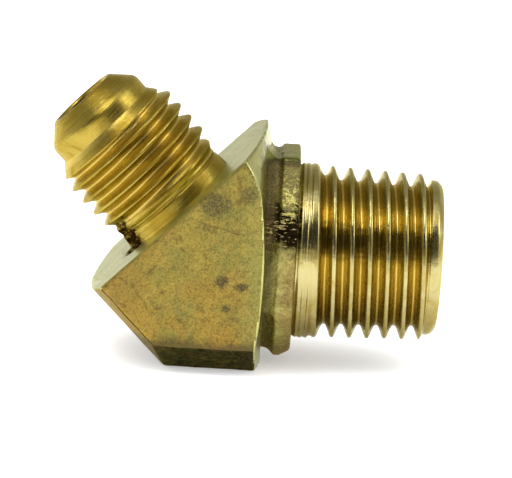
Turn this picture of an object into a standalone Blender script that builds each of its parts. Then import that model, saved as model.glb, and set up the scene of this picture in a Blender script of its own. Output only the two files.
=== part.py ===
"""45 degree male elbow in forged brass: a 1/4 in SAE flare end and a 1/4 in NPT pipe end.

The model's origin is on the bottom flat, straight below the point where the two bore axes cross.
+X is the pipe end's axis, +Z is up, and the flare end points up and back at 45 degrees.
"""
import math

import bmesh
import bpy
from mathutils import Matrix, Vector

MM = 0.001

# ---- driving dimensions, in millimetres --------------------------------------------------------
BEND = math.radians(45)          # the angle between the flare axis and the pipe axis run backwards
AXIS_HEIGHT = 9.0                # the crossing of the two axes above the bottom flat
FIT_GAP = 0.3                    # left between neighbouring zones of the forging
CLEAR = 30.0                     # far enough to be outside the whole fitting
SEGMENTS = 28                    # around every turned surface

BODY_WIDTH = 15.0                # across the two wrench flats
BODY_REACH = (9.5, 9.9)          # flare axis to the crowns of the block's two bulged ends
END_BULGE = 1.7                  # how much further the crowns reach than the ends' corners
FACE_DISTANCE = 4.5              # crossing to the flare-side face, along the flare axis
SHOULDER_X = 4.1                 # crossing to the body's pipe-side face
BEVEL_HEIGHT = 2.3               # the bevels along the bottom flat
BEVEL_DEPTH = 2.6
RELIEF_CENTRE = (2.0, -1.0)      # Y and Z of the off-centre relief round the shoulder
RELIEF_CURVE = ((1.1, 14.4), (2.1, 13.3), (2.9, 12.5), (3.5, 11.6), (3.85, 10.2),
                (4.2, 8.6))      # its outline, as X from the crossing and radius

FLARE_LENGTH = 16.0              # crossing to the nose, along the flare axis
FLARE_BORE = 4.8
NOSE_DIAMETER = 5.8
SEAT_DIAMETER = 8.8              # large end of the 45 degree seat, and the plain band behind it
BAND_LENGTH = 1.3
FLARE_MAJOR = 11.11              # 7/16-20 UNF
FLARE_MINOR = 9.55
FLARE_PITCH = 1.27
FLARE_THREAD = 7.3
SKIRT_DIAMETER = 10.0

COLLAR_END_X = 6.45
COLLAR_HALF_HEIGHT = 8.1
COLLAR_HALF_WIDTH = 7.2
COLLAR_CORNER = 4.0              # the collar's octagon corners, cut back this far along each side
COLLAR_CHAMFER = 0.5
COLLAR_FILLET = 0.9              # how far its foot sweeps up the shoulder, at the top only
FILLET_STEPS = 3

PIPE_END_X = 18.0
PIPE_BORE = 7.1
PIPE_ROOT_DIAMETER = 14.1        # the plain turned band beside the collar
PIPE_THREAD_START_X = 7.7
PIPE_PILOT_LENGTH = 0.95         # the plain band at the mouth, where the thread has died out
PIPE_PILOT_DIAMETER = 12.5
PIPE_CHAMFER = 0.45
PIPE_MAJOR_AT_END = 13.26        # 1/4-18 NPT
PIPE_TAPER = 1 / 16              # on the diameter
PIPE_PITCH = 1.411
PIPE_THREAD_DEPTH = 1.05
BORE_MOUTH = 0.5                 # chamfer at the pipe bore's mouth
DRILL_POINT = 2.0                # height of the pipe drill's point, past the crossing

# ---- places worked out from them ---------------------------------------------------------------
CROSSING = Vector((0, 0, AXIS_HEIGHT))
FLARE_AXIS = Vector((-math.cos(BEND), 0, math.sin(BEND)))
FACE_SIDEWAYS = Vector((math.sin(BEND), 0, math.cos(BEND)))

# Where a thread's root and the two edges of its crest stand in one pitch.
THREAD_PHASES = (0.0, 0.44, 0.56)
THREAD_HEIGHTS = (0.0, 1.0, 1.0)


def clear_scene():
    """Start from an empty scene."""
    for obj in list(bpy.data.objects):
        bpy.data.objects.remove(obj, do_unlink=True)


def brass(name, colour, roughness):
    """A Principled BSDF brass with its own colour and roughness."""
    material = bpy.data.materials.new(name)
    material.use_nodes = True
    shader = material.node_tree.nodes["Principled BSDF"]
    shader.inputs["Base Color"].default_value = (*colour, 1)
    shader.inputs["Metallic"].default_value = 1
    shader.inputs["Roughness"].default_value = roughness
    return material


def new_object(name, bm, material=None):
    """Turn a bmesh in millimetres into an object in metres, with its faces pointing out."""
    bmesh.ops.remove_doubles(bm, verts=bm.verts, dist=0.0005)
    bmesh.ops.recalc_face_normals(bm, faces=bm.faces)
    bmesh.ops.scale(bm, vec=(MM, MM, MM), verts=bm.verts)
    mesh = bpy.data.meshes.new(name)
    bm.to_mesh(mesh)
    bm.free()
    obj = bpy.data.objects.new(name, mesh)
    bpy.context.scene.collection.objects.link(obj)
    if material:
        mesh.materials.append(material)
    mesh.shade_smooth()
    mesh.set_sharp_from_angle(angle=math.radians(25))
    return obj


def boolean(obj, cutter, operation):
    """Add an exact Boolean with a hidden cutter."""
    cutter.hide_render = True
    cutter.display_type = "WIRE"
    modifier = obj.modifiers.new(cutter.name, "BOOLEAN")
    modifier.operation = operation
    modifier.object = cutter


def ring(bm, distance, radius):
    """A ring of vertices about local Z."""
    angles = [2 * math.pi * i / SEGMENTS for i in range(SEGMENTS)]
    return [bm.verts.new((radius * math.cos(a), radius * math.sin(a), distance)) for a in angles]


def bridge(bm, first, second):
    """Quads between two rings with the same number of vertices."""
    count = len(first)
    for i in range(count):
        j = (i + 1) % count
        bm.faces.new((first[i], first[j], second[j], second[i]))


def thread(bm, start, end, pitch, radius_at):
    """A helical thread about local Z, and its first and last rings.

    Each column of vertices is the thread's profile, raised by its share of one pitch, so the rows
    climb round the axis and meet themselves one pitch higher. What passes an end is held there.
    radius_at(height, distance) gives the radius for a profile height from 0 (root) to 1 (crest).
    """
    rows_per_pitch = len(THREAD_PHASES)
    turns = math.ceil((end - start) / pitch)
    rows = range(-rows_per_pitch, (turns + 1) * rows_per_pitch + 1)
    columns = []
    for i in range(SEGMENTS):
        angle = 2 * math.pi * i / SEGMENTS
        column = {}
        for row in rows:
            turn, step = divmod(row, rows_per_pitch)
            distance = start + pitch * (turn + THREAD_PHASES[step] + i / SEGMENTS)
            distance = min(max(distance, start), end)
            radius = radius_at(THREAD_HEIGHTS[step], distance)
            place = (radius * math.cos(angle), radius * math.sin(angle), distance)
            column[row] = bm.verts.new(place)
        columns.append(column)
    for i in range(SEGMENTS):
        seam = i == SEGMENTS - 1
        here, there = columns[i], columns[0 if seam else i + 1]
        lift = rows_per_pitch if seam else 0
        for row in rows[:-1]:
            low, high = min(row + lift, rows[-1]), min(row + 1 + lift, rows[-1])
            corners = [here[row], there[low], there[high], here[row + 1]]
            if low == high:
                corners = [here[row], there[low], here[row + 1]]
            bm.faces.new(corners)
    first = [column[rows[0]] for column in columns]
    last = [column[rows[-1]] for column in columns]
    return first, last


def axis_matrix(direction):
    """Local Z to the given direction, with its start at the crossing of the axes."""
    turn = Vector((0, 0, 1)).rotation_difference(direction)
    return Matrix.Translation(CROSSING) @ turn.to_matrix().to_4x4()


def turned_tube(name, direction, before, threading, after, bore, material):
    """A closed tube: plain rings, a thread, plain rings, then back along the bore.

    before, after and bore are (distance, radius) pairs; threading is (start, end, pitch, radius_at).
    """
    bm = bmesh.new()
    first, last = thread(bm, *threading)
    loops = [ring(bm, *point) for point in before] + [first]
    for one, two in zip(loops, loops[1:]):
        bridge(bm, one, two)
    loops = [last] + [ring(bm, *point) for point in (*after, *bore)] + [loops[0]]
    for one, two in zip(loops, loops[1:]):
        bridge(bm, one, two)
    bmesh.ops.transform(bm, matrix=axis_matrix(direction), verts=bm.verts)
    return new_object(name, bm, material)


def solid_of_revolution(name, direction, points):
    """A closed solid about an axis through the crossing, from (distance, radius) pairs."""
    bm = bmesh.new()
    loops = [ring(bm, *point) for point in points]
    for one, two in zip(loops, loops[1:]):
        bridge(bm, one, two)
    bm.faces.new(loops[0])
    bm.faces.new(loops[-1])
    bmesh.ops.transform(bm, matrix=axis_matrix(direction), verts=bm.verts)
    return new_object(name, bm)


def prism(name, base, far_side, material=None):
    """A closed solid: the base outline, swept by the far_side vector."""
    bm = bmesh.new()
    near = [bm.verts.new(point) for point in base]
    far = [bm.verts.new(Vector(point) + far_side) for point in base]
    bridge(bm, near, far)
    bm.faces.new(near)
    bm.faces.new(far)
    return new_object(name, bm, material)


def arc(centre, radius, start_degrees, end_degrees, steps=6):
    """Points of an arc in a flat outline."""
    points = []
    for i in range(steps + 1):
        a = math.radians(start_degrees + (end_degrees - start_degrees) * i / steps)
        points.append((centre[0] + radius * math.cos(a), centre[1] + radius * math.sin(a)))
    return points


def body_side_outline():
    """The block's outline seen square to the wrench flats: X and Z, counter-clockwise."""
    face_centre = CROSSING + FLARE_AXIS * FACE_DISTANCE
    far_corner = face_centre - FACE_SIDEWAYS * BODY_REACH[0]
    top_corner = face_centre + FACE_SIDEWAYS * BODY_REACH[1]
    foot = far_corner - FLARE_AXIS * (far_corner.z / FLARE_AXIS.z)
    overshoot = SHOULDER_X - top_corner.x
    shoulder_top = (SHOULDER_X, top_corner.z - overshoot)
    return [(foot.x, 0.0), (SHOULDER_X, 0.0), shoulder_top,
            (top_corner.x, top_corner.z), (far_corner.x, far_corner.z)]


def make_body(material):
    """The forged block with its wrench flats, bevels, turned relief and drilled passage."""
    half = BODY_WIDTH / 2
    outline = [(x, -half, z) for x, z in body_side_outline()]
    body = prism("elbow_body", outline, Vector((0, BODY_WIDTH, 0)), material)

    # The block's plan, seen along the flare axis: each end bulges between the wrench flats.
    radius = (half ** 2 + END_BULGE ** 2) / (2 * END_BULGE)
    spread = math.degrees(math.asin((half + 0.5) / radius))
    plan = arc((BODY_REACH[1] - radius, 0), radius, -spread, spread, 12)
    plan += arc((radius - BODY_REACH[0], 0), radius, 180 - spread, 180 + spread, 12)
    low = CROSSING - FLARE_AXIS * CLEAR
    base = [low + FACE_SIDEWAYS * u + Vector((0, v, 0)) for u, v in plan]
    boolean(body, prism("block_plan", base, FLARE_AXIS * 2 * CLEAR), "INTERSECT")

    # The bevels along the bottom flat, as one long bar with its two lower edges cut back.
    top = CLEAR
    section = [(-half - 1, top), (-half - 1, BEVEL_HEIGHT + BEVEL_HEIGHT / BEVEL_DEPTH),
               (-half + BEVEL_DEPTH, 0.0), (half - BEVEL_DEPTH, 0.0),
               (half + 1, BEVEL_HEIGHT + BEVEL_HEIGHT / BEVEL_DEPTH), (half + 1, top)]
    base = [(-CLEAR, y, z) for y, z in section]
    bar = prism("bottom_bevels", base, Vector((2 * CLEAR, 0, 0)))
    boolean(body, bar, "INTERSECT")

    # The off-centre relief that takes the corner off the shoulder, most of all at the front.
    points = [(-CLEAR, CLEAR), *RELIEF_CURVE]
    relief = solid_of_revolution("turned_relief", Vector((1, 0, 0)), points)
    relief.location = (0, RELIEF_CENTRE[0] * MM, RELIEF_CENTRE[1] * MM)
    boolean(body, relief, "INTERSECT")

    pipe_radius = PIPE_BORE / 2
    drilled = [(-DRILL_POINT, 0.05), (0.0, pipe_radius), (SHOULDER_X + 1, pipe_radius)]
    boolean(body, solid_of_revolution("pipe_drilling", Vector((1, 0, 0)), drilled), "DIFFERENCE")
    flare_radius = FLARE_BORE / 2
    drilled = [(0.0, flare_radius), (FACE_DISTANCE + 1, flare_radius)]
    boolean(body, solid_of_revolution("flare_drilling", FLARE_AXIS, drilled), "DIFFERENCE")
    return body


def make_flare_nipple(material):
    """The flare end: 45 degree seat, plain band, 7/16-20 thread and skirt."""
    seat = SEAT_DIAMETER / 2
    skirt = SKIRT_DIAMETER / 2
    nose = NOSE_DIAMETER / 2
    seat_end = FLARE_LENGTH - (seat - nose)
    band_end = seat_end - BAND_LENGTH
    foot = FACE_DISTANCE + FIT_GAP
    thread_end = band_end - FLARE_THREAD

    def radius_at(height, distance):
        radius = (FLARE_MINOR + (FLARE_MAJOR - FLARE_MINOR) * height) / 2
        runout = min((distance - thread_end) / FLARE_PITCH, 1)
        lead_in = seat + (band_end - distance)
        return min(skirt + (radius - skirt) * runout, lead_in)

    before = [(foot, skirt)]
    threading = (thread_end, band_end, FLARE_PITCH, radius_at)
    after = [(seat_end, seat), (FLARE_LENGTH, nose)]
    bore = [(FLARE_LENGTH, FLARE_BORE / 2), (foot, FLARE_BORE / 2)]
    return turned_tube("flare_nipple", FLARE_AXIS, before, threading, after, bore, material)


def make_pipe_nipple(material):
    """The pipe end: plain root band, tapered 1/4-18 NPT thread and a plain, chamfered pilot."""
    root = PIPE_ROOT_DIAMETER / 2
    start = COLLAR_END_X + FIT_GAP
    pilot = PIPE_PILOT_DIAMETER / 2
    pilot_start = PIPE_END_X - PIPE_PILOT_LENGTH

    def radius_at(height, distance):
        major = PIPE_MAJOR_AT_END / 2 + (PIPE_END_X - distance) * PIPE_TAPER / 2
        radius = major - PIPE_THREAD_DEPTH * (1 - height)
        fade_in = min((distance - PIPE_THREAD_START_X) / (0.5 * PIPE_PITCH), 1)
        fade_out = min((pilot_start - distance) / (0.2 * PIPE_PITCH), 1)
        threaded = root + (radius - root) * fade_in
        return pilot + (threaded - pilot) * fade_out

    before = [(start, root)]
    threading = (PIPE_THREAD_START_X, pilot_start, PIPE_PITCH, radius_at)
    after = [(PIPE_END_X - PIPE_CHAMFER, pilot), (PIPE_END_X, pilot - PIPE_CHAMFER)]
    bore = [(PIPE_END_X, PIPE_BORE / 2 + BORE_MOUTH), (PIPE_END_X - BORE_MOUTH, PIPE_BORE / 2),
            (start, PIPE_BORE / 2)]
    return turned_tube("pipe_nipple", Vector((1, 0, 0)), before, threading, after, bore, material)


def make_collar(material):
    """The forged collar between the block and the pipe end: an octagon with a filleted foot."""
    high, wide, cut = COLLAR_HALF_HEIGHT, COLLAR_HALF_WIDTH, COLLAR_CORNER
    octagon = [(wide, -high + cut), (wide, high - cut), (wide - cut, high), (cut - wide, high),
               (-wide, high - cut), (-wide, cut - high), (cut - wide, -high), (wide - cut, -high)]
    start = SHOULDER_X + FIT_GAP
    loops = []                   # X, how far the top is lifted, how far the section is drawn in
    for i in range(FILLET_STEPS + 1):
        slope = math.pi / 2 * i / FILLET_STEPS
        loops.append((start + COLLAR_FILLET * (1 - math.cos(slope)),
                      COLLAR_FILLET * (1 - math.sin(slope)), 0.0))
    loops += [(COLLAR_END_X - COLLAR_CHAMFER, 0.0, 0.0), (COLLAR_END_X, 0.0, COLLAR_CHAMFER)]
    bm = bmesh.new()
    rings = []
    for x, lift, inset in loops:
        shrink_y, shrink_z = (wide - inset) / wide, (high - inset) / high
        section = [(y * shrink_y, z * shrink_z + max(z, 0) / high * lift) for y, z in octagon]
        rings.append([bm.verts.new((x, y, AXIS_HEIGHT + z)) for y, z in section])
    for one, two in zip(rings, rings[1:]):
        bridge(bm, one, two)
    bm.faces.new(rings[0])
    bm.faces.new(rings[-1])
    collar = new_object("neck_collar", bm, material)
    drilled = [(start - 1, PIPE_BORE / 2), (COLLAR_END_X + 1, PIPE_BORE / 2)]
    boolean(collar, solid_of_revolution("collar_drilling", Vector((1, 0, 0)), drilled),
            "DIFFERENCE")
    return collar


def main():
    clear_scene()
    make_body(brass("forged_brass", (0.46, 0.32, 0.12), 0.42))
    make_flare_nipple(brass("turned_brass", (0.72, 0.50, 0.12), 0.25))
    make_collar(brass("oxidised_brass", (0.20, 0.15, 0.07), 0.62))
    make_pipe_nipple(brass("bright_brass", (0.78, 0.62, 0.30), 0.20))


main()
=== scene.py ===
"""The looks of a 45 degree brass flare elbow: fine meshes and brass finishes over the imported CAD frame.

Meshes are worked out in millimetres about the crossing of the two bore axes, and scaled to metres
as each piece is made. A turned piece is built about its own local Z and then stood on its axis, so
that its material can read distance along the axis and angle round it from object coordinates.
"""
import math

import bmesh
import bpy
from mathutils import Matrix, Vector, noise


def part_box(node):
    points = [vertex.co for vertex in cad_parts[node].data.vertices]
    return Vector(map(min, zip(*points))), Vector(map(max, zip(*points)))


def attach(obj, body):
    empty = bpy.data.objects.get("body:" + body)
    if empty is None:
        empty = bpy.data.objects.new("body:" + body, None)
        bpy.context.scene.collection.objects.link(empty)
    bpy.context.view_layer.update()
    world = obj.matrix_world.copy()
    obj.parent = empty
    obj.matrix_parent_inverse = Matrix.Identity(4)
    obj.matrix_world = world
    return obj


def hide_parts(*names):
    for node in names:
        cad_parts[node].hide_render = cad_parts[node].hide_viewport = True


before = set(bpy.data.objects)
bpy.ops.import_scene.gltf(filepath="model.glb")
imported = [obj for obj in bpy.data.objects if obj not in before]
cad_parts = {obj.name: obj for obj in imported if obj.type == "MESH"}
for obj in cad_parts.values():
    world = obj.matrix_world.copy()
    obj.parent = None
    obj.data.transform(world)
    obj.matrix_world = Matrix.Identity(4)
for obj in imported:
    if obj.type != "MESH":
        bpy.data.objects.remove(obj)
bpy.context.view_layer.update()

MM = 0.001


def box_mm(node):
    """A CAD node's lowest and highest corners in millimetres."""
    low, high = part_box(node)
    return Vector(low) / MM, Vector(high) / MM


# ---- places read from the frame ----------------------------------------------------------------
BODY_HIGH = box_mm("elbow_body")[1]
COLLAR_HIGH = box_mm("neck_collar")[1]
PIPE_LOW, PIPE_HIGH = box_mm("pipe_nipple")
AXIS_HEIGHT = (PIPE_LOW.z + PIPE_HIGH.z) / 2
CROSSING = Vector((0, 0, AXIS_HEIGHT))
HALF_WIDTH = BODY_HIGH.y
SHOULDER_X = BODY_HIGH.x
COLLAR_END_X = COLLAR_HIGH.x
PIPE_END_X = PIPE_HIGH.x

# ---- driving dimensions, in millimetres --------------------------------------------------------
BEND = math.radians(45)
FLARE_AXIS = Vector((-math.cos(BEND), 0, math.sin(BEND)))
FACE_SIDEWAYS = Vector((math.sin(BEND), 0, math.cos(BEND)))
PIPE_AXIS = Vector((1, 0, 0))

FACE_DISTANCE = 4.5
FAR_REACH = 9.5
COLLAR_REACH = 9.9
END_BULGE = 1.7
BEVEL_HEIGHT = 2.3
BEVEL_DEPTH = 2.6
RELIEF_CENTRE = (2.0, -1.0)
RELIEF_CURVE = ((1.1, 14.4), (2.1, 13.3), (2.9, 12.5), (3.5, 11.6), (3.85, 10.2), (4.2, 8.6))

FLARE_LENGTH = 16.0
FLARE_BORE = 4.8
NOSE_DIAMETER = 5.8
SEAT_DIAMETER = 8.8
BAND_LENGTH = 1.3
FLARE_MAJOR = 11.11
FLARE_MINOR = 9.55
FLARE_PITCH = 1.27
FLARE_THREAD = 7.3
SKIRT_DIAMETER = 10.0

COLLAR_HALF_HEIGHT = 8.1
COLLAR_HALF_WIDTH = 7.2
COLLAR_CORNER = 4.0
NECK_BURIED = 0.7                # how far the collar's neck starts inside the block
NECK_RUN = 1.7
NECK_WAIST = 0.55                # how far the neck is drawn in
NECK_LIFT = 1.95                 # how far its top sweeps up the block
PARTING_HEIGHT = 3.0             # the die's parting line, above the pipe axis
PARTING_SPREAD = 2.6

PIPE_BORE = 7.1
PIPE_ROOT_DIAMETER = 14.1
PIPE_THREAD_START_X = 7.7
PIPE_PILOT_LENGTH = 0.95
PIPE_PILOT_DIAMETER = 12.5
PIPE_CHAMFER = 0.45
PIPE_MAJOR_AT_END = 13.26
PIPE_TAPER = 1 / 16
PIPE_PITCH = 1.411
PIPE_THREAD_DEPTH = 1.05
BORE_MOUTH = 0.5

CLEAR = 30.0                     # far enough to be outside the whole fitting
SINK = 0.25                      # how far a turned piece runs into its neighbour
SEGMENTS = 180                   # around the turned pieces
ROWS_PER_PITCH = 16
FLARE_FLATS = (0.12, 0.80)       # shares of half a pitch: the flat root, then the flank
PIPE_FLATS = (0.16, 0.68)
BAND_HEIGHT = 0.75               # the thread height that a plain band is coloured as
WOBBLE = 0.012                   # how far a turned skin strays from round
BODY_VOXEL = 0.14
COLLAR_VOXEL = 0.12


# ---- mesh helpers ------------------------------------------------------------------------------
def ring(bm, distance, radius, count=SEGMENTS):
    """A ring of vertices about local Z."""
    angles = [2 * math.pi * i / count for i in range(count)]
    return [bm.verts.new((radius * math.cos(a), radius * math.sin(a), distance)) for a in angles]


def bridge(bm, first, second):
    """Quads between two rings with the same number of vertices."""
    count = len(first)
    for i in range(count):
        j = (i + 1) % count
        bm.faces.new((first[i], first[j], second[j], second[i]))


def bridge_all(bm, loops):
    """Quads between each ring and the next."""
    for one, two in zip(loops, loops[1:]):
        bridge(bm, one, two)


def axis_matrix(direction):
    """Local Z to the given direction, with its start at the crossing of the axes."""
    turn = Vector((0, 0, 1)).rotation_difference(direction)
    return Matrix.Translation(CROSSING) @ turn.to_matrix().to_4x4()


def bare_object(name, bm):
    """A bmesh as an object, still in millimetres."""
    bmesh.ops.remove_doubles(bm, verts=bm.verts, dist=0.0005)
    bmesh.ops.recalc_face_normals(bm, faces=bm.faces)
    mesh = bpy.data.meshes.new(name)
    bm.to_mesh(mesh)
    bm.free()
    obj = bpy.data.objects.new(name, mesh)
    bpy.context.scene.collection.objects.link(obj)
    return obj


def round_off(points, radius, steps=4):
    """A profile with each inner corner replaced by a small curve."""
    result = [points[0]]
    for before, here, after in zip(points, points[1:], points[2:]):
        here, before, after = Vector(here), Vector(before), Vector(after)
        back, on = before - here, after - here
        start = here + back.normalized() * min(radius, back.length * 0.45)
        end = here + on.normalized() * min(radius, on.length * 0.45)
        for i in range(steps + 1):
            t = i / steps
            point = start * (1 - t) ** 2 + here * 2 * t * (1 - t) + end * t ** 2
            result.append((point.x, point.y))
    result.append(points[-1])
    return result


def subdivide(points, longest):
    """A profile whose long straight runs are cut into shorter ones."""
    result = [points[0]]
    for one, two in zip(points, points[1:]):
        length = math.dist(one, two)
        count = max(1, math.ceil(length / longest))
        for i in range(1, count + 1):
            t = i / count
            result.append((one[0] + (two[0] - one[0]) * t, one[1] + (two[1] - one[1]) * t))
    return result


def crest_height(phase, root_flat, flank):
    """Thread height from 0 at the root to 1 at the crest, with softened corners."""
    rise = 1 - abs(2 * phase - 1)
    straight = min(max((rise - root_flat) / flank, 0), 1)
    smooth = straight * straight * (3 - 2 * straight)
    return 0.75 * straight + 0.25 * smooth


def thread(bm, start, end, pitch, radius_at, flats, layer):
    """A helical thread about local Z, and its first and last rings.

    Each column of vertices is the thread's profile raised by its share of one pitch, so the rows
    climb round the axis and meet themselves one pitch higher. What passes an end is held there.
    """
    turns = math.ceil((end - start) / pitch)
    rows = range(-ROWS_PER_PITCH, (turns + 1) * ROWS_PER_PITCH + 1)
    columns = []
    for i in range(SEGMENTS):
        angle = 2 * math.pi * i / SEGMENTS
        column = {}
        for row in rows:
            turn, step = divmod(row, ROWS_PER_PITCH)
            phase = step / ROWS_PER_PITCH
            distance = start + pitch * (turn + phase + i / SEGMENTS)
            held = min(max(distance, start), end)
            height = crest_height(phase, *flats)
            radius = radius_at(height, held)
            vertex = bm.verts.new((radius * math.cos(angle), radius * math.sin(angle), held))
            vertex[layer] = height
            column[row] = vertex
        columns.append(column)
    for i in range(SEGMENTS):
        seam = i == SEGMENTS - 1
        here, there = columns[i], columns[0 if seam else i + 1]
        lift = ROWS_PER_PITCH if seam else 0
        for row in rows[:-1]:
            low, high = min(row + lift, rows[-1]), min(row + 1 + lift, rows[-1])
            corners = [here[row], there[low], there[high], here[row + 1]]
            if low == high:
                corners = [here[row], there[low], here[row + 1]]
            bm.faces.new(corners)
    first = [column[rows[0]] for column in columns]
    last = [column[rows[-1]] for column in columns]
    return first, last


def torn_inwards(bm, centre):
    """Pull the skin in round a place where the metal is torn."""
    for vertex in bm.verts:
        away = vertex.co - centre
        away.z *= 0.62
        ragged = away.length + 0.55 * noise.noise(vertex.co * 1.7 + Vector((4, 8, 2)))
        depth = 0.8 * min(max((1.35 - ragged) / 0.4, 0), 1)
        if math.hypot(vertex.co.x, vertex.co.y) > FLARE_MINOR / 2 - 0.4:
            vertex.co -= Vector((vertex.co.x, vertex.co.y, 0)).normalized() * depth


def turned_piece(name, direction, before, threading, after, wobble, torn=None):
    """A turned, threaded, bored piece: plain rings, a thread, plain rings, then back down the bore."""
    bm = bmesh.new()
    layer = bm.verts.layers.float.new("thread_height")
    first, last = thread(bm, *threading, layer)
    early = [ring(bm, *point) for point in before]
    late = [ring(bm, *point) for point in after]
    for vertex in sum(early + late, []):
        vertex[layer] = BAND_HEIGHT
    bridge_all(bm, early + [first])
    bridge_all(bm, [last] + late + [early[0]])
    for vertex in bm.verts:
        seed = vertex.co * 0.9
        drift = noise.noise(seed) * wobble + noise.noise(vertex.co * 3.1) * wobble * 0.4
        radial = Vector((vertex.co.x, vertex.co.y, 0)).normalized()
        vertex.co += radial * drift
    if torn is not None:
        torn_inwards(bm, torn)
    obj = bare_object(name, bm)
    obj.data.transform(Matrix.Scale(MM, 4))
    place = axis_matrix(direction)
    place.translation *= MM
    obj.matrix_world = place
    return obj


def solid_of_revolution(name, direction, points, count=120):
    """A closed cutter about an axis through the crossing, from (distance, radius) pairs."""
    bm = bmesh.new()
    loops = [ring(bm, *point, count) for point in points]
    bridge_all(bm, loops)
    bm.faces.new(loops[0])
    bm.faces.new(loops[-1])
    bmesh.ops.transform(bm, matrix=axis_matrix(direction), verts=bm.verts)
    return bare_object(name, bm)


def prism(name, base, far_side):
    """A closed solid: the base outline, swept by the far_side vector."""
    bm = bmesh.new()
    near = [bm.verts.new(point) for point in base]
    far = [bm.verts.new(Vector(point) + far_side) for point in base]
    bridge(bm, near, far)
    bm.faces.new(near)
    bm.faces.new(far)
    return bare_object(name, bm)


def arc(centre, radius, start_degrees, end_degrees, steps=16):
    """Points of an arc in a flat outline."""
    points = []
    for i in range(steps + 1):
        a = math.radians(start_degrees + (end_degrees - start_degrees) * i / steps)
        points.append((centre[0] + radius * math.cos(a), centre[1] + radius * math.sin(a)))
    return points


def boolean(obj, cutter, operation):
    """Add an exact Boolean."""
    modifier = obj.modifiers.new(cutter.name, "BOOLEAN")
    modifier.operation = operation
    modifier.object = cutter
    return cutter


def skin_over(obj, cutters, voxel, smoothing):
    """Apply the cuts, then remesh the solid into an even, slightly softened skin."""
    remesh = obj.modifiers.new("even skin", "REMESH")
    remesh.mode = "VOXEL"
    remesh.voxel_size = voxel
    soften = obj.modifiers.new("soften", "SMOOTH")
    soften.factor = 0.5
    soften.iterations = smoothing
    graph = bpy.context.evaluated_depsgraph_get()
    mesh = bpy.data.meshes.new_from_object(obj.evaluated_get(graph))
    obj.modifiers.clear()
    obj.data = mesh
    for cutter in cutters:
        bpy.data.objects.remove(cutter, do_unlink=True)


# ---- the block ---------------------------------------------------------------------------------
# Where the forging did not fill its die, from the crossing of the axes.
NOTCH_PLACE = FLARE_AXIS * (FACE_DISTANCE + 0.15) - FACE_SIDEWAYS * 4.5 + Vector((0, -2.5, 0))
NOTCH_SIZE = (0.95, 1.4, 0.8)
# The same place in the flare end's own frame, a little further up the skirt.
TEAR = axis_matrix(FLARE_AXIS).inverted() @ (CROSSING + NOTCH_PLACE) + Vector((0, 0, 0.25))


def block_outline():
    """The block seen square to its wrench flats: X and Z."""
    centre = CROSSING + FLARE_AXIS * FACE_DISTANCE
    far_corner = centre - FACE_SIDEWAYS * FAR_REACH
    top_corner = centre + FACE_SIDEWAYS * COLLAR_REACH
    foot_x = far_corner.x + far_corner.z
    shoulder_z = top_corner.z - (SHOULDER_X - top_corner.x)
    return [(foot_x, 0.0), (SHOULDER_X, 0.0), (SHOULDER_X, shoulder_z),
            (top_corner.x, top_corner.z), (far_corner.x, far_corner.z)]


def notch_blob(name, place, size):
    """A lumpy blob, where the forging did not fill its die beside the skirt."""
    bm = bmesh.new()
    bmesh.ops.create_icosphere(bm, subdivisions=3, radius=1)
    for vertex in bm.verts:
        lump = 1 + 0.45 * noise.noise(vertex.co * 1.9 + Vector((3, 1, 7)))
        vertex.co = Vector(c * s for c, s in zip(vertex.co * lump, size))
    bmesh.ops.transform(bm, matrix=Matrix.Translation(CROSSING + place), verts=bm.verts)
    return bare_object(name, bm)


def make_block():
    """The block: its side outline cut by its plan, its bevelled bar, the relief, bores and notch."""
    half = HALF_WIDTH
    outline = [(x, -half, z) for x, z in block_outline()]
    block = prism("elbow_block", outline, Vector((0, 2 * half, 0)))
    cutters = []

    radius = (half ** 2 + END_BULGE ** 2) / (2 * END_BULGE)
    spread = math.degrees(math.asin((half + 0.5) / radius))
    plan = arc((COLLAR_REACH - radius, 0), radius, -spread, spread, 40)
    plan += arc((radius - FAR_REACH, 0), radius, 180 - spread, 180 + spread, 40)
    low = CROSSING - FLARE_AXIS * CLEAR
    base = [low + FACE_SIDEWAYS * u + Vector((0, v, 0)) for u, v in plan]
    cutters.append(boolean(block, prism("plan", base, FLARE_AXIS * 2 * CLEAR), "INTERSECT"))

    slope = BEVEL_HEIGHT / BEVEL_DEPTH
    section = [(-half - 1, CLEAR), (-half - 1, BEVEL_HEIGHT + slope), (BEVEL_DEPTH - half, 0.0),
               (half - BEVEL_DEPTH, 0.0), (half + 1, BEVEL_HEIGHT + slope), (half + 1, CLEAR)]
    base = [(-CLEAR, y, z) for y, z in section]
    cutters.append(boolean(block, prism("bar", base, Vector((2 * CLEAR, 0, 0))), "INTERSECT"))

    points = [(-CLEAR, CLEAR), *round_off(RELIEF_CURVE, 0.8)]
    relief = solid_of_revolution("relief", PIPE_AXIS, points)
    relief.location = (0, *RELIEF_CENTRE)
    cutters.append(boolean(block, relief, "INTERSECT"))

    drilled = [(-2.0, 0.05), (0.0, PIPE_BORE / 2), (SHOULDER_X + 1, PIPE_BORE / 2)]
    cutters.append(boolean(block, solid_of_revolution("drill_a", PIPE_AXIS, drilled), "DIFFERENCE"))
    drilled = [(0.0, FLARE_BORE / 2), (FACE_DISTANCE + 1, FLARE_BORE / 2)]
    cutters.append(boolean(block, solid_of_revolution("drill_b", FLARE_AXIS, drilled), "DIFFERENCE"))
    notch = notch_blob("notch", NOTCH_PLACE, NOTCH_SIZE)
    cutters.append(boolean(block, notch, "DIFFERENCE"))
    bpy.context.view_layer.update()
    skin_over(block, cutters, BODY_VOXEL, 3)
    sort_block_faces(block.data)
    roughen_block(block.data)
    block.data.transform(Matrix.Scale(MM, 4))
    block.data.shade_smooth()
    return block


FORGED, MILLED, SCALE, TURNED, DRILLED = range(5)


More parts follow.
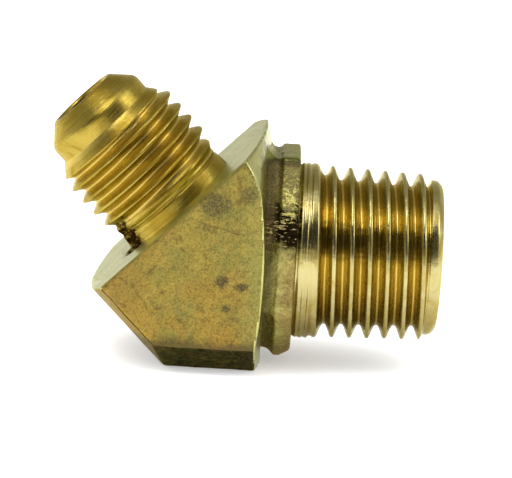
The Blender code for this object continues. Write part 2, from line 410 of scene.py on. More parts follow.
def relief_x(radius):
    """How far out along the pipe axis the relief stands, at a radius from its own centre."""
    for (x_out, r_out), (x_in, r_in) in zip(RELIEF_CURVE, RELIEF_CURVE[1:]):
        if r_in <= radius <= r_out:
            return x_in + (x_out - x_in) * (radius - r_in) / (r_out - r_in)
    return SHOULDER_X if radius < RELIEF_CURVE[-1][1] else -CLEAR


def surface_of(point, normal):
    """Which finish a point of the block has."""
    local = point - CROSSING
    along_flare = local.dot(FLARE_AXIS)
    from_pipe_axis = math.hypot(local.y, local.z)
    from_flare_axis = (local - FLARE_AXIS * along_flare).length
    inward = normal.dot(Vector((0, -local.y, -local.z))) > 0
    if from_pipe_axis < PIPE_BORE / 2 + 0.2 and local.x > -2.5 and inward:
        return DRILLED
    if from_flare_axis < FLARE_BORE / 2 + 0.15 and -0.5 < along_flare < FACE_DISTANCE - 0.05:
        return DRILLED
    if normal.dot(FLARE_AXIS) > 0.8 and along_flare > FACE_DISTANCE - 0.12:
        return MILLED
    off_centre = math.hypot(local.y - RELIEF_CENTRE[0], local.z - RELIEF_CENTRE[1])
    if local.x > relief_x(off_centre) - 0.12 and abs(normal.y) < 0.97 and normal.x > 0.25:
        return TURNED
    if abs(normal.y) > 0.85 or (normal.dot(FACE_SIDEWAYS) < -0.55 and abs(normal.y) < 0.45):
        return FORGED
    # faces turned downwards get the rough skin whose dark colour is painted shade
    if normal.z < -0.3:
        return SCALE
    return TURNED if local.x > 0 else MILLED


def sort_block_faces(mesh):
    """Give every face of the block the slot of its finish."""
    for polygon in mesh.polygons:
        polygon.material_index = surface_of(polygon.center, polygon.normal)


def roughen_block(mesh):
    """Forging ripple and pits, strongest on the skin that no tool has touched."""
    depth = {FORGED: (0.018, 0.010), MILLED: (0.006, 0.0), SCALE: (0.07, 0.03),
             TURNED: (0.006, 0.0), DRILLED: (0.005, 0.0)}
    normals = [vertex.normal.copy() for vertex in mesh.vertices]
    for vertex, normal in zip(mesh.vertices, normals):
        ripple, pits = depth[surface_of(vertex.co, normal)]
        place = vertex.co
        wave = noise.noise(place * 0.55) + 0.5 * noise.noise(place * 1.4)
        grit = min(noise.noise(place * 3.3 + Vector((5, 2, 9))) + 0.25, 0)
        vertex.co = place + normal * (wave * ripple + grit * pits * 2)


# ---- the collar --------------------------------------------------------------------------------
def collar_section(shrink, lift, rise):
    """The collar's rounded octagon, drawn in by shrink, its top lifted and its bottom raised."""
    high, wide, cut = COLLAR_HALF_HEIGHT - shrink, COLLAR_HALF_WIDTH - shrink, COLLAR_CORNER
    corners = [(wide, cut - high), (wide, high - cut), (wide - cut, high), (cut - wide, high),
               (-wide, high - cut), (-wide, cut - high), (cut - wide, -high), (wide - cut, -high)]
    closed = [corners[-1]] + corners + [corners[0]]
    rounded = round_off(closed, 0.25, 5)[1:-1]
    return [(y, z + max(z, 0) / high * lift + max(-z, 0) / high * rise) for y, z in rounded]


def make_collar():
    """The forged collar: a drawn-in neck that sweeps up the block's shoulder, and a square end."""
    start = SHOULDER_X - NECK_BURIED
    rows = []                    # X, drawn in, top lifted, bottom raised
    for i in range(11):
        t = i / 10
        rows.append((start + NECK_RUN * t, NECK_WAIST * (1 - t ** 4), NECK_LIFT * (1 - t) ** 2, 0.0))
    end = COLLAR_END_X
    rows += [(end - 0.8, 0.0, 0.0, 0.0), (end - 0.12, 0.0, 0.0, 0.45), (end - 0.03, 0.06, 0.0, 0.5),
             (end, 0.25, 0.0, 0.5)]
    bm = bmesh.new()
    loops = []
    for x, *shape in rows:
        section = collar_section(*shape)
        loops.append([bm.verts.new((x, y, AXIS_HEIGHT + z)) for y, z in section])
    bridge_all(bm, loops)
    bm.faces.new(loops[0])
    bm.faces.new(loops[-1])
    collar = bare_object("collar", bm)
    drilled = [(0.0, PIPE_BORE / 2), (COLLAR_END_X + 1, PIPE_BORE / 2)]
    drill = boolean(collar, solid_of_revolution("drill_c", PIPE_AXIS, drilled), "DIFFERENCE")
    bpy.context.view_layer.update()
    skin_over(collar, [drill], COLLAR_VOXEL, 2)
    normals = [vertex.normal.copy() for vertex in collar.data.vertices]
    for vertex, normal in zip(collar.data.vertices, normals):
        place = vertex.co
        if math.hypot(place.y, place.z - AXIS_HEIGHT) < PIPE_BORE / 2 + 0.3:
            continue
        height = place.z - AXIS_HEIGHT
        near_parting = max(0.0, 1 - abs(height - PARTING_HEIGHT) / PARTING_SPREAD)
        lumps = noise.noise(place * 0.6 + Vector((2, 4, 1))) * 0.05
        folded = Vector((place.x * 0.8, place.y * 0.8, place.z * 2.1))
        folds = noise.noise(folded) * 0.26 * near_parting
        steps = noise.noise(Vector((place.x * 2.6, place.y * 1.1, place.z * 0.8))) * 0.03
        grit = noise.noise(place * 4.5) * (0.02 + 0.03 * near_parting)
        calm = 0.2 if normal.z > 0.85 else 1.0
        vertex.co = place + normal * (lumps + folds + steps + grit) * calm
    collar.data.transform(Matrix.Scale(MM, 4))
    collar.data.shade_smooth()
    return collar


# ---- the turned ends ---------------------------------------------------------------------------
def groove(points, distance, depth, width):
    """Insert a small round-bottomed groove into a cylinder's profile."""
    radius = None
    for one, two in zip(points, points[1:]):
        low, high = sorted((one[0], two[0]))
        if low <= distance <= high and high > low:
            share = (distance - one[0]) / (two[0] - one[0])
            radius = one[1] + (two[1] - one[1]) * share
            index = points.index(two)
            sign = 1 if two[0] > one[0] else -1
    cut = []
    for i in range(-3, 4):
        t = i / 3
        cut.append((distance + sign * t * width / 2, radius - depth * (1 - t * t)))
    return points[:index] + cut + points[index:]


def make_flare_end():
    """The flare end: 45 degree seat, plain band, 7/16-20 thread and skirt."""
    seat, skirt, nose = SEAT_DIAMETER / 2, SKIRT_DIAMETER / 2, NOSE_DIAMETER / 2
    bore = FLARE_BORE / 2
    seat_end = FLARE_LENGTH - (seat - nose)
    band_end = seat_end - BAND_LENGTH
    foot = FACE_DISTANCE - SINK
    thread_end = band_end - FLARE_THREAD

    def radius_at(height, distance):
        radius = (FLARE_MINOR + (FLARE_MAJOR - FLARE_MINOR) * height) / 2
        runout = min((distance - thread_end) / (1.2 * FLARE_PITCH), 1)
        lead_in = seat + (band_end - distance) * 0.8
        return min(skirt + (radius - skirt) * runout, lead_in)

    skirt_side = [(foot, skirt + 0.2), (FACE_DISTANCE + 0.05, skirt + 0.12),
                  (thread_end - 0.35, skirt + 0.02), (thread_end - 0.3, skirt - 0.08),
                  (thread_end - 0.02, skirt)]
    before = subdivide(round_off(skirt_side, 0.06), 0.12)
    threading = (thread_end, band_end, FLARE_PITCH, radius_at, FLARE_FLATS)
    cone = round_off([(band_end + 0.02, seat), (seat_end, seat),
                      (FLARE_LENGTH - 0.04, nose + 0.04)], 0.4, 6)
    band = cone + [(FLARE_LENGTH, nose - 0.06), (FLARE_LENGTH, bore + 0.16),
                   (FLARE_LENGTH - 0.15, bore), (foot, bore)]
    band = groove(band, band_end + 0.36, 0.08, 0.18)
    after = subdivide(round_off(band, 0.04, 3), 0.8)
    return turned_piece("flare_end", FLARE_AXIS, before, threading, after, WOBBLE, TEAR)


def make_pipe_end():
    """The pipe end: ringed root band, tapered 1/4-18 NPT thread, chamfer and bore mouth."""
    root = PIPE_ROOT_DIAMETER / 2
    start = COLLAR_END_X - SINK
    bore = PIPE_BORE / 2
    pilot = PIPE_PILOT_DIAMETER / 2
    pilot_start = PIPE_END_X - PIPE_PILOT_LENGTH

    def radius_at(height, distance):
        major = PIPE_MAJOR_AT_END / 2 + (PIPE_END_X - distance) * PIPE_TAPER / 2
        radius = major - PIPE_THREAD_DEPTH * (1 - height)
        fade_in = min((distance - PIPE_THREAD_START_X) / (0.7 * PIPE_PITCH), 1)
        fade_out = min((pilot_start - distance) / (0.2 * PIPE_PITCH), 1)
        threaded = root + (radius - root) * fade_in
        return pilot + (threaded - pilot) * fade_out

    band = [(start, root - 0.15), (COLLAR_END_X + 0.12, root - 0.12), (COLLAR_END_X + 0.3, root),
            (PIPE_THREAD_START_X - 0.02, root)]
    for distance, depth in ((0.5, 0.05), (0.95, 0.07)):
        band = groove(band, COLLAR_END_X + distance, depth, 0.3)
    before = round_off(band, 0.05, 3)
    threading = (PIPE_THREAD_START_X, pilot_start, PIPE_PITCH, radius_at, PIPE_FLATS)
    mouth = [(pilot_start + 0.02, pilot), (PIPE_END_X - PIPE_CHAMFER, pilot),
             (PIPE_END_X, pilot - PIPE_CHAMFER), (PIPE_END_X, bore + BORE_MOUTH),
             (PIPE_END_X - BORE_MOUTH, bore), (start, bore)]
    after = subdivide(round_off(mouth, 0.22, 5), 0.8)
    return turned_piece("pipe_end", PIPE_AXIS, before, threading, after, WOBBLE)


# ---- materials ---------------------------------------------------------------------------------
# Handling marks on the front wrench flat, as places, sizes and depths of colour.
FRONT = -HALF_WIDTH
FLAT_MARKS = (((0.0, FRONT, 13.8), (2.0, 1.0, 1.7), 0.75), ((0.8, FRONT, 7.75), (0.8, 1.0, 0.95), 0.9),
              ((2.3, FRONT, 7.4), (1.0, 1.0, 0.6), 0.85), ((1.2, FRONT, 5.6), (0.6, 1.0, 0.55), 0.85),
              ((2.6, FRONT, 14.8), (1.2, 1.0, 1.3), 0.60))
FLAT_SCRATCH = ((-1.6, 12.5), (2.5, 11.5), 0.10)
# painted shade: a dark patch on the relief, in the crease where the collar's neck sweeps up the block
RELIEF_CREASE_SHADE = ((3.7, -3.2, 17.8), (0.8, 1.6, 0.9), 0.7)

BRASS_TINT = (0.86, 0.82, 0.58, 1)
WHITE = (1, 1, 1, 1)


class Paint:
    """Short hand for building one brass finish out of nodes."""

    def __init__(self, name):
        self.material = bpy.data.materials.new(name)
        self.material.use_nodes = True
        self.tree = self.material.node_tree
        self.shader = self.tree.nodes["Principled BSDF"]
        self.shader.inputs["Metallic"].default_value = 1.0
        self.shader.inputs["Specular Tint"].default_value = BRASS_TINT
        coordinates = self.tree.nodes.new("ShaderNodeTexCoord")
        scaled = self.tree.nodes.new("ShaderNodeVectorMath")
        scaled.operation = "SCALE"
        scaled.inputs["Scale"].default_value = 1 / MM
        self.tree.links.new(coordinates.outputs["Object"], scaled.inputs[0])
        self.place = scaled.outputs["Vector"]

    def put(self, socket, value):
        """Link a socket, or set its value."""
        if isinstance(value, bpy.types.NodeSocket):
            self.tree.links.new(value, socket)
        elif isinstance(value, tuple) and len(value) == 3 and socket.type == "RGBA":
            socket.default_value = (*value, 1)
        else:
            socket.default_value = value

    def math(self, operation, a, b=0.0, clamp=False):
        node = self.tree.nodes.new("ShaderNodeMath")
        node.operation = operation
        node.use_clamp = clamp
        self.put(node.inputs[0], a)
        self.put(node.inputs[1], b)
        return node.outputs[0]

    def split(self, vector):
        node = self.tree.nodes.new("ShaderNodeSeparateXYZ")
        self.put(node.inputs[0], vector)
        return node.outputs[0], node.outputs[1], node.outputs[2]

    def join(self, x, y, z):
        node = self.tree.nodes.new("ShaderNodeCombineXYZ")
        for socket, value in zip(node.inputs, (x, y, z)):
            self.put(socket, value)
        return node.outputs[0]

    def noise(self, vector, scale, detail=3.0, roughness=0.55, distortion=0.0):
        node = self.tree.nodes.new("ShaderNodeTexNoise")
        self.put(node.inputs["Vector"], vector)
        node.inputs["Scale"].default_value = scale
        node.inputs["Detail"].default_value = detail
        node.inputs["Roughness"].default_value = roughness
        node.inputs["Distortion"].default_value = distortion
        return node.outputs["Fac"]

    def fade(self, value, low, high, start=0.0, end=1.0):
        """Map a value from low..high to start..end, held at both ends."""
        node = self.tree.nodes.new("ShaderNodeMapRange")
        node.interpolation_type = "SMOOTHSTEP"
        self.put(node.inputs["Value"], value)
        for name, number in (("From Min", low), ("From Max", high), ("To Min", start),
                             ("To Max", end)):
            node.inputs[name].default_value = number
        return node.outputs["Result"]

    def mix(self, share, a, b):
        node = self.tree.nodes.new("ShaderNodeMix")
        node.data_type = "RGBA"
        self.put(node.inputs["Factor"], share)
        self.put(node.inputs[6], a)
        self.put(node.inputs[7], b)
        return node.outputs[2]

    def attribute(self, name):
        node = self.tree.nodes.new("ShaderNodeAttribute")
        node.attribute_name = name
        return node.outputs["Fac"]

    def pointiness(self):
        node = self.tree.nodes.new("ShaderNodeNewGeometry")
        return node.outputs["Pointiness"]

    def spot(self, centre, size, depth=1.0):
        """A ragged patch: depth at its centre, fading to nothing at size (x, y, z) from it."""
        away = self.tree.nodes.new("ShaderNodeVectorMath")
        away.operation = "SUBTRACT"
        self.put(away.inputs[0], self.place)
        away.inputs[1].default_value = centre
        scaled = self.tree.nodes.new("ShaderNodeVectorMath")
        scaled.operation = "DIVIDE"
        self.put(scaled.inputs[0], away.outputs[0])
        scaled.inputs[1].default_value = size
        length = self.tree.nodes.new("ShaderNodeVectorMath")
        length.operation = "LENGTH"
        self.put(length.inputs[0], scaled.outputs[0])
        rough = self.math("MULTIPLY", self.noise(self.place, 2.4, 5.0, 0.75), 1.4)
        return self.fade(self.math("ADD", length.outputs["Value"], rough), 1.0, 1.5, depth, 0.0)

    def scratch(self, start, end, width):
        """A thin line on a wrench flat, from start to end in X and Z."""
        x, _, z = self.split(self.place)
        run, rise = end[0] - start[0], end[1] - start[1]
        length = math.hypot(run, rise)
        dx, dz = self.math("SUBTRACT", x, start[0]), self.math("SUBTRACT", z, start[1])
        along = self.math("ADD", self.math("MULTIPLY", dx, run / length),
                          self.math("MULTIPLY", dz, rise / length))
        off = self.math("SUBTRACT", self.math("MULTIPLY", dz, run / length),
                        self.math("MULTIPLY", dx, rise / length))
        wander = self.math("MULTIPLY", self.noise(self.place, 0.8), 0.5)
        off = self.math("ABSOLUTE", self.math("SUBTRACT", self.math("ADD", off, wander), 0.25))
        inside = self.math("MULTIPLY", self.fade(along, 0.0, 0.4),
                           self.fade(along, length - 0.4, length, 1.0, 0.0))
        return self.math("MULTIPLY", self.fade(off, 0.2 * width, width, 0.5, 0.0), inside)

    def bump(self, height, distance, normal=None):
        """Bump whose height is in millimetres."""
        node = self.tree.nodes.new("ShaderNodeBump")
        node.inputs["Strength"].default_value = 1.0
        node.inputs["Distance"].default_value = distance * MM
        self.put(node.inputs["Height"], height)
        if normal is not None:
            self.put(node.inputs["Normal"], normal)
        return node.outputs["Normal"]

    def finish(self, colour, roughness, normal=None, metallic=None):
        self.put(self.shader.inputs["Base Color"], colour)
        self.put(self.shader.inputs["Roughness"], roughness)
        if normal is not None:
            self.put(self.shader.inputs["Normal"], normal)
        if metallic is not None:
            self.put(self.shader.inputs["Metallic"], metallic)
        return self.material


def turned_brass(name, pale, deep, root, gloss, ring_depth, torn=None, below=None):
    """Lathe-turned brass: rings round the axis, cloudy colour, darker thread roots.

    torn is where a tear's hollow is painted dark brown, as shade; below is the direction of the side
    painted darker, as shade standing in for the shadowed floor that it reflects.
    """
    paint = Paint(name)
    x, y, along = paint.split(paint.place)
    angle = paint.math("ARCTAN2", y, x)
    rings_at = paint.join(paint.math("MULTIPLY", angle, 0.35), 0.0, paint.math("MULTIPLY", along, 8.0))
    rings = paint.noise(rings_at, 1.0, 4.0, 0.65)
    cloud = paint.noise(paint.place, 0.42, 4.0, 0.6, 0.8)
    height = paint.attribute("thread_height")
    colour = paint.mix(paint.fade(cloud, 0.36, 0.62), deep, pale)
    colour = paint.mix(paint.fade(rings, 0.54, 0.74, 0.0, 0.5), colour, deep)
    colour = paint.mix(paint.fade(height, 0.0, 0.7, 0.8, 0.0), colour, root)
    # painted shade: the side towards below, most of all its thread roots, is darkened to stand in for the
    # shadowed floor it reflects
    if below is not None:
        low = paint.math("ADD", paint.math("MULTIPLY", x, below.x), paint.math("MULTIPLY", y, below.y))
        painted_underside_shade = paint.math("MULTIPLY", paint.fade(low, 0.0, 6.0),
                             paint.fade(height, 0.3, 1.0, 0.9, 0.45))
        colour = paint.mix(painted_underside_shade, colour, (0.13, 0.075, 0.010))
    specks = paint.noise(paint.place, 3.4, 4.0, 0.7)
    colour = paint.mix(paint.fade(specks, 0.64, 0.78, 0.0, 0.6), colour, (0.09, 0.05, 0.01))
    # painted shade: the tear's hollow is coloured dark brown as well as made rough
    if torn is not None:
        tear = paint.spot(torn, (3.0, 3.0, 3.6))
        colour = paint.mix(tear, colour, (0.045, 0.016, 0.003))
    roughness = paint.math("ADD", paint.fade(rings, 0.3, 0.7, gloss - 0.04, gloss + 0.08),
                           paint.fade(cloud, 0.36, 0.62, 0.08, 0.0))
    if torn is not None:
        roughness = paint.math("MAXIMUM", roughness, paint.math("MULTIPLY", tear, 0.75))
    normal = paint.bump(rings, ring_depth)
    normal = paint.bump(paint.noise(paint.place, 1.3, 2.0), 0.03, normal)
    return paint.finish(colour, roughness, normal)


def forged_flat():
    """The satin wrench flats: grainy brown and olive, scratched along the machined edge."""
    paint = Paint("forged_flat")
    x, y, z = paint.split(paint.place)
    along = paint.math("ADD", x, z)
    across = paint.math("SUBTRACT", x, z)
    mottle = paint.noise(paint.place, 1.9, 6.0, 0.8, 0.2)
    grain = paint.noise(paint.place, 5.5, 3.0, 0.9)
    tint = paint.noise(paint.place, 0.22, 3.0, 0.55, 0.6)
    rub_at = paint.join(paint.math("MULTIPLY", along, 0.25), paint.math("MULTIPLY", across, 6.5), y)
    rub = paint.noise(rub_at, 1.0, 4.0, 0.7)
    olive, tan, umber = (0.228, 0.205, 0.048), (0.345, 0.255, 0.050), (0.100, 0.063, 0.018)
    broad = paint.noise(paint.place, 0.45, 8.0, 0.75, 0.3)
    colour = paint.mix(paint.fade(broad, 0.40, 0.60), olive, tan)
    colour = paint.mix(paint.fade(mottle, 0.40, 0.60, 0.35, 0.0), colour, (0.215, 0.170, 0.052))
    colour = paint.mix(paint.fade(tint, 0.46, 0.66, 0.0, 0.5), colour, (0.31, 0.195, 0.040))
    lower = paint.math("MULTIPLY", paint.fade(z, 2.5, 7.5, 0.6, 0.0), paint.fade(broad, 0.36, 0.56))
    colour = paint.mix(lower, colour, (0.37, 0.215, 0.040))
    left = paint.math("MULTIPLY", paint.fade(x, -4.5, -8.5), paint.fade(mottle, 0.42, 0.60, 0.1, 0.6))
    colour = paint.mix(left, colour, (0.30, 0.16, 0.040))
    colour = paint.mix(paint.fade(x, 1.6, 3.6, 0.0, 0.6), colour, (0.315, 0.285, 0.075))
    colour = paint.mix(paint.fade(grain, 0.50, 0.62, 0.0, 0.58), colour, umber)
    colour = paint.mix(paint.fade(grain, 0.36, 0.46, 0.25, 0.0), colour, (0.42, 0.33, 0.09))
    colour = paint.mix(paint.fade(rub, 0.54, 0.68, 0.0, 0.32), colour, (0.42, 0.355, 0.11))
    stain = paint.noise(paint.place, 0.8, 7.0, 0.8, 0.4)
    colour = paint.mix(paint.fade(stain, 0.54, 0.64, 0.0, 0.75), colour, (0.120, 0.082, 0.026))
    # painted shade: darker towards the bottom edge, carrying the bevel's painted shade up onto the flat
    shade_by_bevel = paint.math("ADD", z, paint.math("MULTIPLY", paint.math("SUBTRACT", broad, 0.5), 2.0))
    colour = paint.mix(paint.fade(shade_by_bevel, BEVEL_HEIGHT, BEVEL_HEIGHT + 0.9, 0.85, 0.0), colour,
                       (0.095, 0.070, 0.028))
    for place, size, depth in FLAT_MARKS:
        mark = paint.math("MULTIPLY", paint.spot(place, size, depth),
                          paint.fade(grain, 0.36, 0.54, 0.5, 1.0))
        colour = paint.mix(mark, colour, (0.060, 0.050, 0.030))
    scratch = paint.scratch(*FLAT_SCRATCH)
    colour = paint.mix(scratch, colour, (0.10, 0.07, 0.03))
    roughness = paint.math("ADD", paint.fade(mottle, 0.3, 0.7, 0.46, 0.36),
                           paint.fade(rub, 0.5, 0.7, 0.0, -0.08))
    normal = paint.bump(grain, 0.035)
    normal = paint.bump(mottle, 0.05, normal)
    normal = paint.bump(rub, 0.02, normal)
    return paint.finish(colour, roughness, normal)


def milled_face():
    """The machined face: pale and greenish, with fine arcs round the flare axis."""
    paint = Paint("milled_face")
    shifted = paint.tree.nodes.new("ShaderNodeVectorMath")
    shifted.operation = "SUBTRACT"
    paint.put(shifted.inputs[0], paint.place)
    shifted.inputs[1].default_value = CROSSING
    x, y, z = paint.split(shifted.outputs[0])
    side = paint.math("MULTIPLY", paint.math("ADD", x, z), math.sqrt(0.5))
    squared = paint.math("ADD", paint.math("POWER", side, 2.0), paint.math("POWER", y, 2.0))
    radius = paint.math("SQRT", squared)
    angle = paint.math("ARCTAN2", y, side)
    marks_at = paint.join(paint.math("MULTIPLY", radius, 7.0), paint.math("MULTIPLY", angle, 1.2), 0.0)
    marks = paint.noise(marks_at, 1.0, 3.0, 0.6)
    cloud = paint.noise(paint.place, 0.5, 3.0, 0.6)
    colour = paint.mix(paint.fade(cloud, 0.35, 0.65), (0.44, 0.43, 0.115), (0.52, 0.51, 0.16))
    colour = paint.mix(paint.fade(marks, 0.45, 0.7, 0.0, 0.10), colour, (0.40, 0.37, 0.10))
    # painted shade: dark brown round the notch's hollow
    colour = paint.mix(paint.spot(CROSSING + NOTCH_PLACE, (1.9, 2.6, 1.8)), colour, (0.07, 0.022, 0.003))
    roughness = paint.fade(marks, 0.3, 0.7, 0.30, 0.42)
    paint.shader.inputs["Specular Tint"].default_value = WHITE
    return paint.finish(colour, roughness, paint.bump(marks, 0.008))


def forging_skin_and_shade():
    """The rough oxide skin the die left on the block's bevels and bottom; its dark olive and brown is
    painted shade, standing in for the shadowed floor that these downward faces reflect.
    """
    paint = Paint("block_skin_and_shade")
    blotch = paint.noise(paint.place, 0.7, 5.0, 0.65, 0.5)
    grit = paint.noise(paint.place, 3.0, 5.0, 0.75)
    colour = paint.mix(paint.fade(blotch, 0.38, 0.60), (0.008, 0.0075, 0.002), (0.028, 0.025, 0.007))
    share = paint.math("MAXIMUM", paint.math("MULTIPLY", paint.fade(grit, 0.44, 0.64), 0.35),
                       paint.fade(paint.pointiness(), 0.50, 0.56, 0.0, 0.7), True)
    colour = paint.mix(share, colour, (0.085, 0.070, 0.018))
    brown = paint.noise(paint.place, 1.3, 4.0, 0.65)
    colour = paint.mix(paint.fade(brown, 0.53, 0.64, 0.0, 0.6), colour, (0.070, 0.038, 0.011))
    roughness = paint.fade(grit, 0.3, 0.7, 0.60, 0.42)
    normal = paint.bump(blotch, 0.12, paint.bump(grit, 0.10))
    return paint.finish(colour, roughness, normal)


def collar_skin():
    """The collar: smooth and greenish on top, scorched along the die's parting line, darker brown towards
    the bottom, with painted shade where its neck meets the block and a painted shadow under the top
    facet.
    """
    paint = Paint("collar_skin")
    x, y, z = paint.split(paint.place)
    high = paint.math("SUBTRACT", z, AXIS_HEIGHT)
    out = paint.math("SUBTRACT", x, SHOULDER_X)
    cloud = paint.noise(paint.place, 0.8, 4.0, 0.6, 0.4)
    grit = paint.noise(paint.place, 3.6, 5.0, 0.8)
    wave = paint.math("MULTIPLY", paint.math("SUBTRACT", cloud, 0.5), 3.0)
    level = paint.math("ADD", high, wave)
    colour = paint.mix(paint.fade(cloud, 0.40, 0.60), (0.25, 0.210, 0.060), (0.37, 0.34, 0.105))
    ruddy = paint.math("MULTIPLY", paint.fade(out, 1.0, 1.9), paint.fade(level, 2.4, 0.9))
    ruddy = paint.math("MULTIPLY", ruddy, paint.fade(grit, 0.36, 0.60, 0.1, 0.8))
    colour = paint.mix(ruddy, colour, (0.25, 0.155, 0.052))
    upper = paint.fade(level, 4.4, 5.4)
    colour = paint.mix(paint.math("MULTIPLY", upper, 0.85), colour, (0.190, 0.155, 0.056))
    scorched = paint.math("MULTIPLY", paint.fade(level, 1.0, 2.2), paint.fade(level, 5.2, 4.4))
    colour = paint.mix(scorched, colour, (0.009, 0.006, 0.002))
    shine_at = paint.join(paint.math("MULTIPLY", x, 1.1), paint.math("MULTIPLY", y, 1.0),
                          paint.math("MULTIPLY", z, 1.5))
    shine = paint.noise(shine_at, 1.0, 3.0, 0.6, 1.2)
    outer = paint.fade(out, 0.7, 1.3)
    patch = paint.math("MULTIPLY", paint.fade(shine, 0.52, 0.62, 0.0, 0.85), paint.fade(level, 3.4, 4.2))
    patch = paint.math("MULTIPLY", paint.math("MULTIPLY", patch, paint.fade(level, 7.2, 6.4)), outer)
    colour = paint.mix(patch, colour, (0.56, 0.50, 0.15))
    nick_at = paint.join(paint.math("MULTIPLY", x, 1.3), y, paint.math("MULTIPLY", z, 4.5))
    nicks = paint.fade(paint.noise(nick_at, 1.0, 2.0, 0.5, 1.6), 0.60, 0.65)
    nicks = paint.math("MULTIPLY", nicks, scorched)
    # painted shade: darker where the collar's neck meets the block
    neck = paint.fade(out, 0.9, 0.3, 0.0, 0.8)
    colour = paint.mix(neck, colour, (0.095, 0.070, 0.028))
    colour = paint.mix(nicks, colour, (0.46, 0.36, 0.16))
    top = paint.fade(high, COLLAR_HALF_HEIGHT - 0.35, COLLAR_HALF_HEIGHT - 0.15)
    colour = paint.mix(top, colour, (0.22, 0.225, 0.055))
    # painted shadow: a dark line under the top facet's edge
    edge = paint.math("ABSOLUTE", paint.math("SUBTRACT", high, COLLAR_HALF_HEIGHT - 0.35))
    colour = paint.mix(paint.fade(edge, 0.1, 0.4, 0.6, 0.0), colour, (0.045, 0.036, 0.020))
    bottom = paint.fade(high, -5.6, -7.4, 0.0, 0.75)
    colour = paint.mix(bottom, colour, (0.17, 0.115, 0.045))
    specks = paint.math("MULTIPLY", paint.fade(grit, 0.56, 0.66), paint.fade(top, 0.0, 1.0, 0.75, 0.1))
    colour = paint.mix(specks, colour, (0.060, 0.040, 0.020))
    roughness = paint.math("ADD", paint.fade(grit, 0.3, 0.7, 0.24, 0.34),
                           paint.fade(patch, 0, 1, 0, -0.12))
    depth = paint.math("MULTIPLY", grit, paint.fade(top, 0.0, 1.0, 1.0, 0.2))
    normal = paint.bump(cloud, 0.10, paint.bump(depth, 0.07))
    return paint.finish(colour, roughness, normal)


def relief_brass():
    """The off-centre relief: smooth, pale greenish brass."""
    paint = Paint("relief_brass")
    cloud = paint.noise(paint.place, 0.9, 4.0, 0.6)
    smudge = paint.noise(paint.place, 1.6, 3.0, 0.6, 0.5)
    paint.shader.inputs["Specular Tint"].default_value = WHITE
    colour = paint.mix(paint.fade(cloud, 0.35, 0.65), (0.40, 0.385, 0.135), (0.50, 0.475, 0.185))
    colour = paint.mix(paint.fade(smudge, 0.58, 0.72, 0.0, 0.6), colour, (0.15, 0.125, 0.06))
    # painted shade in the crease beside the collar's sweep
    colour = paint.mix(paint.spot(*RELIEF_CREASE_SHADE), colour, (0.085, 0.075, 0.040))
    return paint.finish(colour, paint.fade(cloud, 0.3, 0.7, 0.34, 0.26),
                        paint.bump(paint.noise(paint.place, 3.0), 0.02))


def drilled_brass():
    """The bore: dull and cloudy."""
    paint = Paint("drilled_brass")
    cloud = paint.noise(paint.place, 1.6, 4.0, 0.6)
    colour = paint.mix(paint.fade(cloud, 0.35, 0.65), (0.24, 0.15, 0.03), (0.36, 0.25, 0.06))
    return paint.finish(colour, paint.fade(cloud, 0.3, 0.7, 0.45, 0.32), paint.bump(cloud, 0.04))


# ---- the set -----------------------------------------------------------------------------------
FLOOR_HALF = 3.0                 # metres
FLOOR_DROP = 0.00005             # metres, so that the floor and the bottom flat don't share a plane
FLOOR_GLOW = 0.32                # keeps the shadow soft and pale
STUDIO_STRENGTH = 1.3            # the even white light on everything


def make_floor():
    """A wide, plain, pale floor under the bottom flat."""
    bm = bmesh.new()
    signs = ((-1, -1), (1, -1), (1, 1), (-1, 1))
    bm.faces.new([bm.verts.new((x * FLOOR_HALF, y * FLOOR_HALF, 0)) for x, y in signs])
    mesh = bpy.data.meshes.new("floor")
    bm.to_mesh(mesh)
    bm.free()
    floor = bpy.data.objects.new("floor", mesh)
    floor.location.z = -FLOOR_DROP
    bpy.context.scene.collection.objects.link(floor)
    material = bpy.data.materials.new("pale_floor")
    material.use_nodes = True
    shader = material.node_tree.nodes["Principled BSDF"]
    shader.inputs["Base Color"].default_value = (0.92, 0.92, 0.92, 1)
    shader.inputs["Roughness"].default_value = 1.0
    shader.inputs["Specular IOR Level"].default_value = 0.0
    shader.inputs["Emission Color"].default_value = WHITE
    shader.inputs["Emission Strength"].default_value = FLOOR_GLOW
    mesh.materials.append(material)


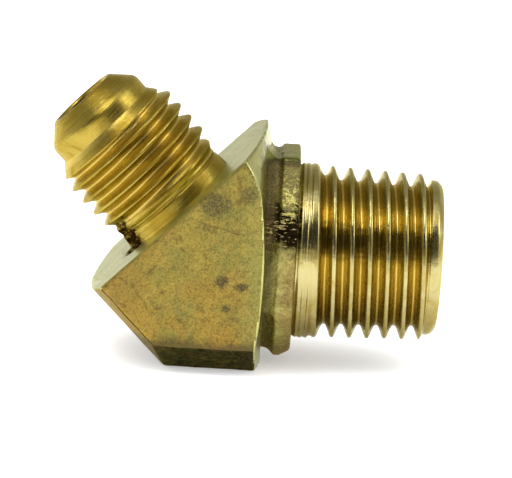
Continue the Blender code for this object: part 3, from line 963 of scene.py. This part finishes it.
def make_world():
    """Even white light, and for reflections only a white studio with a dark opening in front."""
    world = bpy.data.worlds.new("studio")
    bpy.context.scene.world = world
    world.use_nodes = True
    tree = world.node_tree
    tree.nodes.clear()
    output = tree.nodes.new("ShaderNodeOutputWorld")
    coordinates = tree.nodes.new("ShaderNodeTexCoord")
    split = tree.nodes.new("ShaderNodeSeparateXYZ")
    tree.links.new(coordinates.outputs["Generated"], split.inputs[0])

    def fade(value, low, high, start, end):
        node = tree.nodes.new("ShaderNodeMapRange")
        node.interpolation_type = "SMOOTHSTEP"
        tree.links.new(value, node.inputs["Value"])
        for name, number in (("From Min", low), ("From Max", high), ("To Min", start),
                             ("To Max", end)):
            node.inputs[name].default_value = number
        return node.outputs["Result"]

    def times(a, b):
        node = tree.nodes.new("ShaderNodeMath")
        node.operation = "MULTIPLY"
        tree.links.new(a, node.inputs[0])
        tree.links.new(b, node.inputs[1])
        return node.outputs[0]

    x, y, z = split.outputs
    front = fade(y, -0.30, -0.55, 0.0, 1.0)
    dark = times(front, times(fade(z, 0.10, 0.22, 0.0, 1.0), fade(z, 0.80, 0.88, 1.0, 0.0)))
    overhead = times(fade(z, 0.80, 0.90, 0.0, 0.9), fade(y, 0.25, -0.05, 0.0, 1.0))
    level = tree.nodes.new("ShaderNodeMath")
    level.operation = "ADD"
    tree.links.new(fade(z, 0.15, 0.65, 1.0, 0.5), level.inputs[0])
    tree.links.new(overhead, level.inputs[1])
    seen = times(times(level.outputs[0], fade(dark, 0.0, 1.0, 1.0, 0.05)), fade(x, -1.0, 1.0, 0.85, 1.1))
    glossy = tree.nodes.new("ShaderNodeLightPath").outputs["Is Glossy Ray"]
    reflected = tree.nodes.new("ShaderNodeBackground")
    tree.links.new(seen, reflected.inputs["Strength"])
    plain = tree.nodes.new("ShaderNodeBackground")
    plain.inputs["Color"].default_value = WHITE
    plain.inputs["Strength"].default_value = STUDIO_STRENGTH
    choose = tree.nodes.new("ShaderNodeMixShader")
    tree.links.new(glossy, choose.inputs[0])
    tree.links.new(plain.outputs[0], choose.inputs[1])
    tree.links.new(reflected.outputs[0], choose.inputs[2])
    tree.links.new(choose.outputs[0], output.inputs[0])


def make_softbox(name, place, size, power):
    """A soft lamp that looks at the fitting."""
    data = bpy.data.lights.new(name, "AREA")
    data.shape = "RECTANGLE"
    data.size, data.size_y = size
    data.energy = power
    lamp = bpy.data.objects.new(name, data)
    bpy.context.scene.collection.objects.link(lamp)
    lamp.location = place
    aim = CROSSING * MM - Vector(place)
    lamp.rotation_euler = aim.to_track_quat("-Z", "Y").to_euler()


CAMERA_DISTANCE = 0.220
CAMERA_AZIMUTH = math.radians(0.0)
CAMERA_ELEVATION = math.radians(12.5)
CAMERA_ROLL = math.radians(3.4)
FRAME_WIDTH = 512 / 12.40 * MM   # what the frame's width spans at the crossing's distance
AIM_RIGHT = 3.27 * MM
AIM_UP = 0.46 * MM


def make_camera():
    """The main view: square on to the wrench flats, a little from above, slightly rolled."""
    data = bpy.data.cameras.new("camera")
    data.lens = data.sensor_width * CAMERA_DISTANCE / FRAME_WIDTH
    camera = bpy.data.objects.new("camera", data)
    bpy.context.scene.collection.objects.link(camera)
    ahead = Vector((-math.sin(CAMERA_AZIMUTH) * math.cos(CAMERA_ELEVATION),
                    math.cos(CAMERA_AZIMUTH) * math.cos(CAMERA_ELEVATION),
                    -math.sin(CAMERA_ELEVATION)))
    level = ahead.to_track_quat("-Z", "Y").to_matrix()
    turn = level @ Matrix.Rotation(CAMERA_ROLL, 3, "Z")
    right, up = turn.col[0], turn.col[1]
    target = CROSSING * MM + right * AIM_RIGHT + up * AIM_UP
    camera.matrix_world = Matrix.Translation(target - ahead * CAMERA_DISTANCE) @ turn.to_4x4()
    bpy.context.scene.camera = camera


# ---- putting it together -----------------------------------------------------------------------
def dress(piece, node, materials):
    """Ride the piece on the body, let it stand for its CAD node, and give it its finishes."""
    for material in materials:
        piece.data.materials.append(material)
    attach(piece, "root")
    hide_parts(node)


def main():
    block = make_block()
    dress(block, "elbow_body",
          [forged_flat(), milled_face(), forging_skin_and_shade(), relief_brass(), drilled_brass()])
    collar = make_collar()
    dress(collar, "neck_collar", [collar_skin()])
    flare = make_flare_end()
    flare.data.shade_smooth()
    gold = turned_brass("turned_gold", pale=(0.41, 0.305, 0.055), deep=(0.31, 0.205, 0.024),
                        root=(0.56, 0.420, 0.100), gloss=0.26, ring_depth=0.035, torn=TEAR)
    dress(flare, "flare_nipple", [gold])
    pipe = make_pipe_end()
    pipe.data.shade_smooth()
    # the direction of the pipe end's painted underside shade
    down = axis_matrix(PIPE_AXIS).to_3x3().inverted() @ Vector((0, 0, -1))
    pale = turned_brass("turned_pale", pale=(0.49, 0.425, 0.190), deep=(0.39, 0.315, 0.095),
                        root=(0.52, 0.370, 0.070), gloss=0.17, ring_depth=0.02, below=down)
    dress(pipe, "pipe_nipple", [pale])
    make_floor()
    make_world()
    make_softbox("key", (-0.10, -0.12, 0.30), (0.16, 0.16), 0.35)
    make_softbox("fill", (0.25, -0.05, 0.20), (0.14, 0.20), 0.25)
    make_camera()
    bpy.context.scene.view_settings.view_transform = "Standard"


main()
